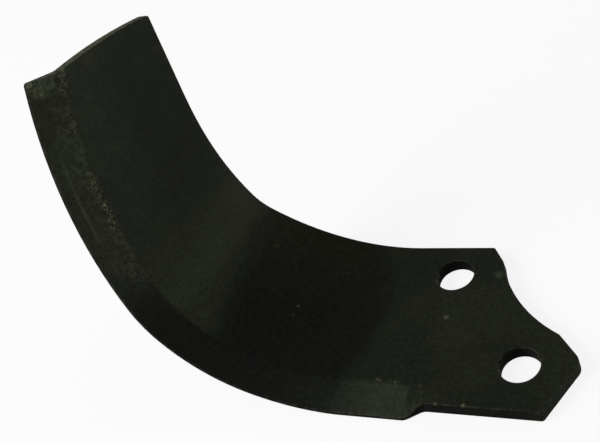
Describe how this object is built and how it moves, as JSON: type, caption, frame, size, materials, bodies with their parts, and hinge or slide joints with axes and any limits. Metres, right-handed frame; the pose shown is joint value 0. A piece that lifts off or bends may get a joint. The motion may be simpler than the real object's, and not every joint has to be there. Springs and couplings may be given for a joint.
{
  "type": "rotary tiller blade",
  "caption": "Curved steel tiller blade: a flat bolt-on shank with a hollow end, bent up through a wide sweep into a digging wing with a bevelled cutting edge.",
  "frame": {"origin": "centre of bolt hole 1, the hole nearer the wing, on the seating face of the shank that lies against the rotor flange", "axes": "+X along the shank towards the rotor axis, +Y across it towards the blade's inner edge, +Z out of the rotor flange towards the side the wing rises to"},
  "size_m": [0.1888, 0.1034, 0.1433],
  "materials": {
    "dark_steel": "black oxide and thin black paint over forged spring steel, satin, lightly scuffed"
  },
  "bodies": {
    "root": {"tiller_blade": "dark_steel"}
  },
  "joints": []
}
